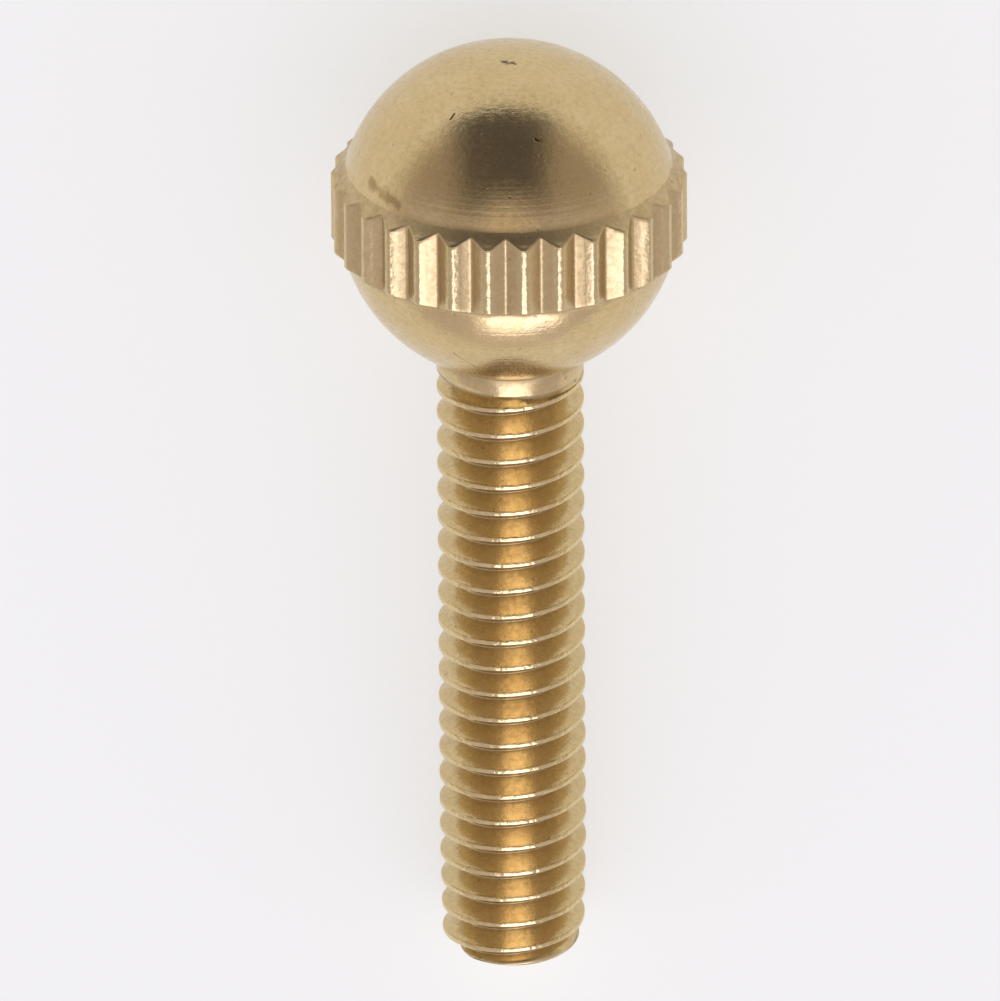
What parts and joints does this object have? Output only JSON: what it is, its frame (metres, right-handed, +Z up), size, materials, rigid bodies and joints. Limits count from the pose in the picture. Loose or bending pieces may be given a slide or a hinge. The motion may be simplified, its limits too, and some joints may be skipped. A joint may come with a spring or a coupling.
{
  "type": "thumb screw",
  "caption": "Brass thumb screw with a ball head, a knurled belt for the fingers and a long threaded shank, lying at rest.",
  "frame": {"origin": "on the surface that the screw lies on, under the middle of its bounding box", "axes": "+Y from the tip to the ball head, +Z up, +X across the screw; the screw's own axis leans 7.7 degrees up towards the head, about X"},
  "size_m": [0.0098, 0.0272, 0.0099],
  "materials": {
    "brass": "satin turned brass, with fine turning lines, small pits and worn crests"
  },
  "bodies": {
    "root": {"thumb_screw": "brass"}
  },
  "joints": []
}
